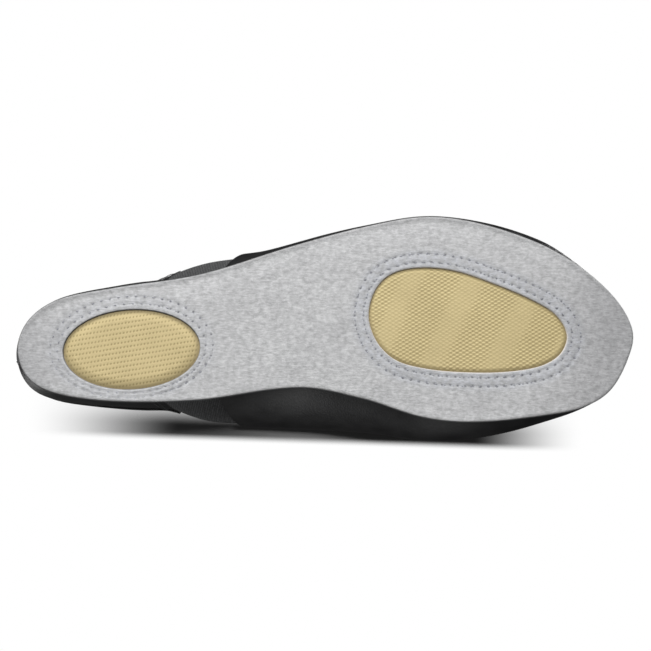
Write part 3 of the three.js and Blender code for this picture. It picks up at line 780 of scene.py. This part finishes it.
gripSettings = {
    "forefoot": {"node": "forefoot_grip", "finish": "ballRubber", "grid": (0.45, 0.17), "turn": -0.02,
                 "pitch": (3.0, 1.76), "pits": False, "bar": (-0.5, 0.8), "pressed": 0.6, "roll": 2.2,
                 "swell": 0.95, "relief": 0.24, "shadeWidth": 1.6},
    "heel": {"node": "heel_grip", "finish": "heelRubber", "grid": (0.28, 0.26), "turn": -0.16,
             "pitch": (1.55, 2.15), "pits": True, "bar": (-0.95, -0.25), "pressed": 0.25, "roll": 5.0,
             "swell": 1.3, "relief": 0.2, "shadeWidth": 2.8},
}


def gripPad(name, settings):
    # a sheet that swells into the window and runs under the suede; its relief is either bars, the cosine
    # along times the cosine across, or pits, where the raised cosines across and along multiply to 1
    loop = windowEdges[name][0]
    low, high = loop.min(axis=0) - 3, loop.max(axis=0) + 3
    count = ((high - low) / settings["grid"]).astype(int)
    x, y = np.meshgrid(np.linspace(low[0], high[0], count[0]), np.linspace(low[1], high[1], count[1]),
                       indexing="ij")
    spots = np.stack([x.ravel(), y.ravel()], axis=-1)
    rel = spots - loop.mean(axis=0)
    inside = polarRadius(name, np.arctan2(rel[:, 1], rel[:, 0]))
    gone = (inside - np.hypot(rel[:, 0], rel[:, 1])).reshape(x.shape)
    edge = np.where(gone > 0, nearest(spots, loop)[0].reshape(x.shape), gone)
    c, s = math.cos(settings["turn"]), math.sin(settings["turn"])
    along, across = x * c + y * s, -x * s + y * c
    turnAlong, turnAcross = (2 * math.pi * v / p for v, p in zip((along, across), settings["pitch"]))
    if settings["pits"]:  # every other row is half a step on
        wave = -(0.5 + 0.5 * np.cos(turnAcross)) * (0.5 + 0.5 * np.cos(turnAlong + turnAcross / 2))
    else:
        wave = np.cos(turnAlong) * np.cos(turnAcross)
    relief = smoothStep(*settings["bar"], wave)
    # the relief is pressed flatter in slanting stripes
    pressed = 1 - settings["pressed"] * smoothStep(-0.2, 0.9, np.sin(x / 4.1 + y / 9 + 0.8 * np.sin(x / 23)))
    relief = 0.5 + (relief - 0.5) * pressed
    swell = smoothStep(-0.4, settings["roll"], edge)
    z = 2.1 - settings["swell"] * swell - settings["relief"] * relief * smoothStep(0.2, 1.6, edge)
    faces = gridFaces(*x.shape)
    keep = (edge.ravel()[faces] > -2.2).all(axis=1)
    shade = 0.8 * (1 - smoothStep(0.0, settings["shadeWidth"], edge))
    piece = putMesh(name + "Grip", place(x, y, z), faces[keep][:, ::-1],
                    finish[settings["finish"]], marks={"relief": relief, "edgeShade": shade})
    giveThickness(piece, 0.6)
    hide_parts(settings["node"])


makeSole()
for windowName, settings in gripSettings.items():
    gripPad(windowName, settings)
for windowName in gripSettings:
    for rowName, rowAt in zip(("inner", "outer"), stitching[windowName]):
        spots = stitchLoop(windowName, rowAt, 900)[0]
        spots = np.concatenate([spots, spots[:1]])
        route = place(spots[:, 0], spots[:, 1], np.full(len(spots), 0.5))
        node = f"{windowName}_stitch_{rowName}"
        piece = stitchRow(f"{windowName}Stitch{rowName.title()}", route, np.tile([0, 0, -1.0], (len(route), 1)),
                          finish["greyThread"], stitching["thread"])
        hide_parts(node)
print("sole done")


# upper

def stepSpread(v):
    # even spacing up the wall: slow at the sole and at the ridge
    return v**1.3 / (v**1.3 + (1 - v)**1.3)


def riseToStep(rise):
    # stepSpread's first half, stretched to run from 0 to 1
    return stepSpread(rise * 0.5) / stepSpread(0.5)


def vampRear(step):
    # the vamp's rear edge as a share of the length: fast at first, by 1 less the square of what is left
    return mix(*shoe["vampRear"], 1 - (1 - step)**2)


def quarterRear(rise):
    return mix(*shoe["quarterFront"], rise)


creases = [  # soft flex lines over the toes: share of the length, depth, width, bow of the line
    {"at": 0.585, "depth": 0.28, "width": 3.0, "bow": 0.02},
    {"at": 0.64, "depth": 0.38, "width": 3.4, "bow": 0.03},
    {"at": 0.7, "depth": 0.22, "width": 3.0, "bow": 0.035},
]
surfaceSettings = {"gathers": 0.16, "slowDents": 0.32}


def softness(angle, step):
    # a worn-in surface: flex lines at the ball, each a bell-shaped valley with half as high a ridge behind
    # it, gathers along the sole at the toe as a sine of the angle, and slow dents as products of sines of
    # x, y and z
    share = shareOf(angle)
    move = np.zeros(np.broadcast(angle, step).shape)
    for line in creases:
        off = (share - line["at"] - line["bow"] * np.cos(step * math.pi) * 0.6) * shoe["length"] / line["width"]
        move -= line["depth"] * smoothStep(0.12, 0.5, step) * (np.exp(-off**2) - 0.5 * np.exp(-(off - 1.9)**2))
    toe = smoothStep(0.8, 0.97, share)
    move += surfaceSettings["gathers"] * toe * (1 - smoothStep(0.04, 0.2, step)) * np.sin(angle * 150)
    spot = bareWall(angle, step)
    slow = np.sin(spot[..., 0] / 19 + 1.1) * np.sin(spot[..., 1] / 15 + spot[..., 2] / 17) \
        + 0.5 * np.sin(spot[..., 0] / 9 + spot[..., 2] / 11) * np.cos(spot[..., 1] / 10)
    return move + surfaceSettings["slowDents"] * slow * smoothStep(0.02, 0.25, step)


def easeToe(verts, rounds):
    # rounds off the end of the ridge over the toes: each point there moves towards the mean of its
    # neighbours, by a bell curve of its distance from that end
    end = verts[-1, verts.shape[1] // 2].copy()
    pull = 0.5 * np.exp(-(np.linalg.norm(verts - end, axis=-1, keepdims=True) / 0.016)**2)
    pull[:, [0, -1]] = 0
    for _ in range(rounds):
        ahead = np.concatenate([verts[1:], verts[-2:-1, ::-1]])
        behind = np.concatenate([verts[:1], verts[:-1]])
        mean = (ahead + behind + np.roll(verts, 1, axis=1) + np.roll(verts, -1, axis=1)) / 4
        verts = mix(verts, mean, pull)
    return verts


# for each panel: its finish, thickness, how much of the soft shape it takes, and the weld where its rows meet
panelSettings = {
    "vamp": {"finish": "blackLeather", "thick": shoe["leather"], "soft": 1.0, "weld": 2e-5, "edge": 0.3,
             "ease": 160},
    "vamp_lining": {"finish": "tricotLining", "thick": shoe["liningThick"], "soft": 0.6, "weld": 2e-5},
    "quarter": {"finish": "blackLeather", "thick": shoe["leather"], "soft": 0.5, "edge": 0.3},
    "gore": {"finish": "elasticWeb", "thick": 0.65, "soft": 0.3, "proud": 1.5, "ribPitch": 1.1,
             "ribRise": 0.12},
    "quarter_lining": {"finish": "tricotLining", "thick": shoe["liningThick"], "soft": 0.5},
}


def panel(name, angle, step, depth, node, flip, settings):
    # a sheet at a depth under the wall plus the soft shape; proud lifts it along its rows as the 0.7th
    # power of a half sine, and ribs are a raised cosine along the shoe
    lift = softness(angle, step) * settings["soft"] \
        + settings.get("proud", 0) * np.sin(np.linspace(0, math.pi, angle.shape[0]))[:, None]**0.7
    marks = None
    if "ribPitch" in settings:
        wave = 0.5 + 0.5 * np.cos(2 * math.pi * (edgeX(angle) + 6 * step) / settings["ribPitch"])
        lift = lift + settings["ribRise"] * wave
        # the same wave paints light and shade on the ribs in the elastic's finish
        marks = {"ribLightAndShade": wave}
    verts = wall(angle, step, depth - lift)
    if "ease" in settings:
        verts = easeToe(verts, settings["ease"])
    along = np.concatenate([np.zeros((1, angle.shape[1])), np.cumsum(np.linalg.norm(np.diff(
        verts, axis=0), axis=-1), axis=0)])
    up = np.concatenate([np.zeros((angle.shape[0], 1)), np.cumsum(np.linalg.norm(np.diff(
        verts, axis=1), axis=-1), axis=1)], axis=1)
    piece = putMesh(name, verts, gridFaces(*angle.shape), finish[settings["finish"]],
                    weld=settings.get("weld", 0.0), uv=np.stack([along, up], axis=-1), marks=marks, flip=flip)
    giveThickness(piece, settings["thick"])
    if "edge" in settings:
        rounded = piece.modifiers.new("roundEdge", "BEVEL")
        rounded.width, rounded.segments, rounded.limit_method = settings["edge"] * mm, 3, "ANGLE"
        rounded.angle_limit = math.radians(50)
    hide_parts(node)


def frontGrid(rows, columns):
    # rows run from the rear edge to the toe, columns from the outer sole edge over the ridge to the arch edge
    v = np.linspace(-1, 1, columns)
    step = stepSpread(1 - np.abs(v))
    start = angleOf(vampRear(step))
    u = np.linspace(0, 1, rows)[:, None]
    angle = mix(start[None, :], math.pi, u)
    return np.where(v[None, :] < 0, 2 * math.pi - angle, angle), np.broadcast_to(step, angle.shape)


def sideGrid(sign, rear, front, rows, columns, top=0.0):
    # rows run from the rear line to the front line, columns from the sole to the top line
    rise = np.linspace(0, 1, columns)[None, :]
    u = np.linspace(0, 1, rows)[:, None]
    angle = mix(rear(rise), front(rise), u)
    return sign * angle, topStep(angle, top) * riseToStep(rise)


panel("vampLeather", *frontGrid(210, 141), 0.0, "vamp", True, panelSettings["vamp"])
panel("vampLiningCloth", *frontGrid(90, 71), shoe["inner"], "vamp_lining", True, panelSettings["vamp_lining"])
seamGap = 0.0036
goreTop = float(topStep(angleOf(mix(*shoe["vampRear"], 0.7))))
for word, sign in (("medial", 1), ("lateral", -1)):
    quarterGrid = sideGrid(sign, lambda r: np.full_like(r, seamGap), lambda r: angleOf(quarterRear(r)), 110, 60)
    seamDip = 0.9 * smoothStep(0.88, 1.0, np.linspace(0, 1, 110))[:, None]
    panel(word + "Quarter", *quarterGrid, seamDip, "quarter_" + word, sign > 0, panelSettings["quarter"])
    goreGrid = sideGrid(sign, lambda r: angleOf(quarterRear(r) - shoe["goreUnder"]),
                        lambda r: angleOf(vampRear(goreTop * riseToStep(r)) + shoe["goreUnder"]), 150, 60, -0.8)
    panel(word + "Gore", *goreGrid, shoe["middle"] + 0.15, "gore_" + word, sign > 0, panelSettings["gore"])
wholeRise = np.linspace(0, 1, 50)[None, :]
wholeEnd = angleOf(quarterRear(wholeRise))
wholeAngle = mix(-wholeEnd, wholeEnd, np.linspace(0, 1, 150)[:, None])
panel("quarterLiningCloth", wholeAngle, topStep(wholeAngle) * riseToStep(wholeRise), shoe["inner"],
      "quarter_lining", True, panelSettings["quarter_lining"])
print("upper panels done")

tapeSettings = {
    "thick": 0.5, "width": 0.014, "dip": 0.9, "throatLow": 0.46,
    # the tape's section, from low on the outer face, over the edge, to low on the lining: place, rise and
    # depth
    "section": [(0, -4.6, -0.25), (0.08, -4.2, -0.5), (0.35, -0.6, -0.62), (0.45, 0.9, -0.2), (0.5, 1.5, 1.9),
                (0.55, 0.9, 4.2), (0.65, -0.6, 4.7), (0.92, -4.2, 4.6), (1, -4.6, 4.3)]}
q = np.linspace(0, 1, 41)[None, :]
tapeRise, tapeDepth = (smoothCurve([(k[0], k[i]) for k in tapeSettings["section"]], q) for i in (1, 2))


def foldedTape(name, node, angle, step, depth, alongUv, flip):
    # the section carried along the edge line, as rows of the wall at each rise and depth
    verts = wall(angle, step, depth)
    uv = np.stack(np.broadcast_arrays(alongUv, q * tapeSettings["width"]), axis=-1)
    piece = putMesh(name, verts, gridFaces(*verts.shape[:2]), finish["foldedTape"], uv=uv, flip=flip)
    giveThickness(piece, tapeSettings["thick"], 1.0)
    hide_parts(node)


front = float(angleOf(shoe["quarterFront"][1]))
collarAngle = np.linspace(-front, front, 220)[:, None]
collarDip = tapeSettings["dip"] * smoothStep(0.86, 1.0, np.abs(collarAngle) / front)
foldedTape("collarTape", "collar_binding", collarAngle, topStep(collarAngle, tapeRise + 0.4),
           tapeDepth * (1 - 0.12 * collarDip) + collarDip, collarAngle * 0.06, True)

spread = np.linspace(-1, 1, 200)[:, None]
throatStep = mix(tapeSettings["throatLow"], 1, stepSpread(0.5 + 0.5 * (1 - np.abs(spread))) * 2 - 1)
taper = smoothStep(0, 0.05, 1 - np.abs(spread))
throatShare = vampRear(throatStep) - tapeRise * mix(0.5, 1, taper) / shoe["length"] / 0.93
throatAngle = np.where(spread < 0, -1, 1) * angleOf(throatShare)
foldedTape("throatTape", "throat_binding", throatAngle, throatStep, tapeDepth, spread * 0.05, False)

# grey strip over the heel seam, crowned across its width as 1 less the sixth power
stripSettings = {"halfTurn": 0.106, "lift": 0.12, "crown": 0.22, "thick": 0.3, "rows": 25, "columns": 80}
stripAcross = np.linspace(-1, 1, stripSettings["rows"])[:, None]
stripUp = np.linspace(0, 1, stripSettings["columns"])[None, :]
stripAngle = stripAcross * stripSettings["halfTurn"]
stripStep = mix(stepAt(stripAngle, shoe["rimTop"] + 0.2), topStep(stripAngle, 0.2), stripUp)
stripDepth = -stripSettings["lift"] - stripSettings["crown"] * (1 - np.abs(stripAcross)**6)
strip = putMesh("heelStrip", wall(stripAngle, stripStep, stripDepth), gridFaces(*stripStep.shape),
                finish["heelStrip"], flip=True)
giveThickness(strip, stripSettings["thick"])
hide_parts("backstay")

# threads along the panel edges; backs are the distances from the edge
rowSettings = {"backs": (1.8, 4.2), "proud": 0.05, "stripProud": 0.3, "stripTurn": 0.085,
               "thread": {"pitch": 2.6, "fill": 0.74, "radius": 0.24, "sink": 0.05}}


def wallRow(name, angle, step, proud=rowSettings["proud"]):
    path = wall(angle, step, -softness(angle, step) - proud)
    stitchRow(name, path, wallNormal(angle, step), finish["blackThread"], rowSettings["thread"])


rowStep, rise = np.linspace(0.03, 0.62, 160), np.linspace(0.06, 0.98, 140)
stripRise = np.linspace(0.06, float(topStep(0.0)) - 0.05, 120)
for sign, word in ((1, "Medial"), (-1, "Lateral")):
    for k, back in enumerate(rowSettings["backs"]):
        wallRow(f"vampRow{word}{k}", sign * angleOf(vampRear(rowStep) + back / shoe["length"]), rowStep)
        angle = angleOf(quarterRear(rise) - back / shoe["length"])
        wallRow(f"quarterRow{word}{k}", sign * angle, topStep(angle) * riseToStep(rise))
    wallRow(f"stripRow{word}", np.full(120, sign * rowSettings["stripTurn"]), stripRise,
            rowSettings["stripProud"])
print("upper trim done")

# sock lining: rings from the edge in to a middle line; its height adds the heel cushion's ease, a lip that
# grows with the cube of the share outwards, and small waves as a sine of x times a sine of y
sockSettings = {"rings": 200, "rows": 40, "grow": 0.6, "middle": 0.8, "padSlope": (-88, -50), "lip": 1.6,
                "wave": 0.15, "weld": 2e-5}
sockAngles = np.linspace(0, 2 * math.pi, sockSettings["rings"], endpoint=False)[:, None]
sockShare = np.linspace(1, 0, sockSettings["rows"])[None, :]
ix, iy = insetPlan(sockAngles, shoe["layerInset"] - sockSettings["grow"])
sockX = mix(ix, edgeX(sockAngles) * sockSettings["middle"], sockShare)
sockY = mix(iy, middleY(sockAngles), sockShare)
padFade = 1 - smoothStep(*sockSettings["padSlope"], sockX)
sockZ = shoe["sockLow"] + shoe["sockThick"] + shoe["heelLift"] * padFade \
    + sockSettings["lip"] * (1 - sockShare)**3 + sockSettings["wave"] * np.sin(sockX / 6) * np.sin(sockY / 7)
sock = putMesh("sockFace", place(sockX, sockY, sockZ), gridFaces(*sockX.shape, closed=True),
               finish["sockCloth"], weld=sockSettings["weld"])
giveThickness(sock, shoe["sockThick"])
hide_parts("sock_lining")
print("insole done")

# stage: sheets, light and camera; each fade gives what it runs over (distance, x or y), where it starts and
# ends, and how clear the sheet is at both
stageSettings = {
    "world": 0.22, "mirrored": 0.032, "tilt": 5.2, "lens": 100, "span": 0.2792, "margin": 651 / 613.5,
    "aim": (-0.0004, -0.0004, 0.010),
    "sheets": {
        "studioFloor": {"size": 3.0, "height": 0.0, "upward": True, "colour": 0.93, "glow": 0.5, "turn": 0.0,
                        "fades": [("away", 0.3, 0.75, 0, 1)]},
        # a dark sheet behind the shoe, seen only from below: its dark colour and its fades paint the shadow
        # band under the shoe, over the real shadow it catches
        "backSheet": {"size": 0.6, "height": 0.045, "upward": False, "colour": 0.085, "glow": 0.0,
                      "turn": -0.031,
                      "fades": [("x", -0.138, -0.063, 1, 0), ("x", 0.075, 0.128, 0, 1),
                                ("y", 0.0505, 0.0545, 0, 1), ("y", 0.0, 0.03, 1, 0),
                                ("y", 0.036, 0.047, 0.6, 0)]},
    },
    "lights": {  # where it is, what it points at, size and power
        "soleLight": ((-0.08, -0.3, -0.92), (0, 0, 0), 0.2, 14.5),
        "sideLight": ((-0.25, -0.95, -0.5), (0, 0, 0), 0.4, 12.5),
        "archLight": ((0.0, 0.9, 0.12), (-0.01, 0.04, 0.02), 0.15, 1.9),
        "topLight": ((1.0, -0.3, 1.0), (0, 0, 0), 0.9, 16),
        "rimLight": ((-0.95, 0.6, 0.75), (0, 0, 0.03), 0.6, 6),
    },
}


def makeSheet(name, settings):
    # a level sheet that can be seen from one side only and fades into the white world
    size, height = settings["size"], settings["height"]
    corners = [(x * size, y * size, height) for x, y in ((-1, -1), (1, -1), (1, 1), (-1, 1))]
    mesh = bpy.data.meshes.new(name)
    mesh.from_pydata(corners, [], [[0, 1, 2, 3] if settings["upward"] else [3, 2, 1, 0]])
    sheet = bpy.data.objects.new(name, mesh)
    bpy.context.scene.collection.objects.link(sheet)
    material, tree, shader = newMaterial(name, Roughness=0.9, Emission_Strength=settings["glow"],
                                         Base_Color=(*[settings["colour"]] * 3, 1), Emission_Color=(1, 1, 1, 1))
    turned = addNode(tree, "Mapping", {"Rotation": (0, 0, settings["turn"])}, {"Vector": mapOf(tree)})
    away = addNode(tree, "VectorMath", None, {0: turned.outputs[0]}, operation="LENGTH")
    along = addNode(tree, "SeparateXYZ", None, {"Vector": turned.outputs[0]})
    sources = {"away": away.outputs["Value"], "x": along.outputs["X"], "y": along.outputs["Y"]}
    back = addNode(tree, "NewGeometry").outputs["Backfacing"]
    shown = maths(tree, "SUBTRACT", 1.0, back)
    for source, start, end, least, most in settings["fades"]:
        far = mapRange(tree, sources[source], fromMin=start, fromMax=end, toMin=least, toMax=most)
        far.interpolation_type = "SMOOTHSTEP"
        shown = maths(tree, "MULTIPLY", shown, maths(tree, "SUBTRACT", 1.0, far.outputs[0]))
    clear = addNode(tree, "BsdfTransparent")
    either = addNode(tree, "MixShader", None, {0: shown, 1: clear.outputs[0], 2: shader.outputs[0]})
    tree.links.new(either.outputs[0], tree.nodes["Material Output"].inputs["Surface"])
    mesh.materials.append(material)
    for switch in ("visible_diffuse", "visible_glossy", "visible_transmission", "visible_shadow"):
        setattr(sheet, switch, False)


def makeLights():
    world = bpy.data.worlds.new("studio")
    bpy.context.scene.world = world
    world.use_nodes = True
    tree = world.node_tree
    back = tree.nodes["Background"]
    back.inputs["Color"].default_value = (1, 1, 1, 1)
    rays = addNode(tree, "LightPath")
    # what the leather mirrors is dimmer than what lights the room, and the camera sees plain white
    mirrored = mapRange(tree, rays.outputs["Is Glossy Ray"], toMin=stageSettings["world"],
                        toMax=stageSettings["mirrored"])
    strength = mapRange(tree, rays.outputs["Is Camera Ray"], toMax=1.0)
    tree.links.new(mirrored.outputs[0], strength.inputs["To Min"])
    tree.links.new(strength.outputs[0], back.inputs["Strength"])
    for name, (spot, aim, size, power) in stageSettings["lights"].items():
        data = bpy.data.lights.new(name, "AREA")
        data.energy, data.size = power, size
        lamp = bpy.data.objects.new(name, data)
        lamp.location = spot
        lamp.rotation_euler = (Vector(aim) - Vector(spot)).to_track_quat("-Z", "Y").to_euler()
        bpy.context.scene.collection.objects.link(lamp)


def makeCamera():
    data = bpy.data.cameras.new("studioCamera")
    camera = bpy.data.objects.new("studioCamera", data)
    bpy.context.scene.collection.objects.link(camera)
    data.lens, data.sensor_width = stageSettings["lens"], 36
    data.clip_end = 100
    tilt = math.radians(stageSettings["tilt"])
    target = Vector((shiftX, shiftY, 0)) + Vector(stageSettings["aim"])
    halfView = math.atan(data.sensor_width / 2 / stageSettings["lens"])
    away = stageSettings["span"] * stageSettings["margin"] / 2 / math.tan(halfView)
    back = Vector((0, math.sin(tilt), -math.cos(tilt)))
    right = Vector((1, 0, 0))
    turn = Matrix((right, back.cross(right), back)).transposed().to_4x4()
    camera.matrix_world = Matrix.Translation(target + back * away) @ turn
    bpy.context.scene.camera = camera


for sheetName, settings in stageSettings["sheets"].items():
    makeSheet(sheetName, settings)
makeLights()
makeCamera()
bpy.context.scene.view_settings.view_transform = "Standard"
print("stage done")
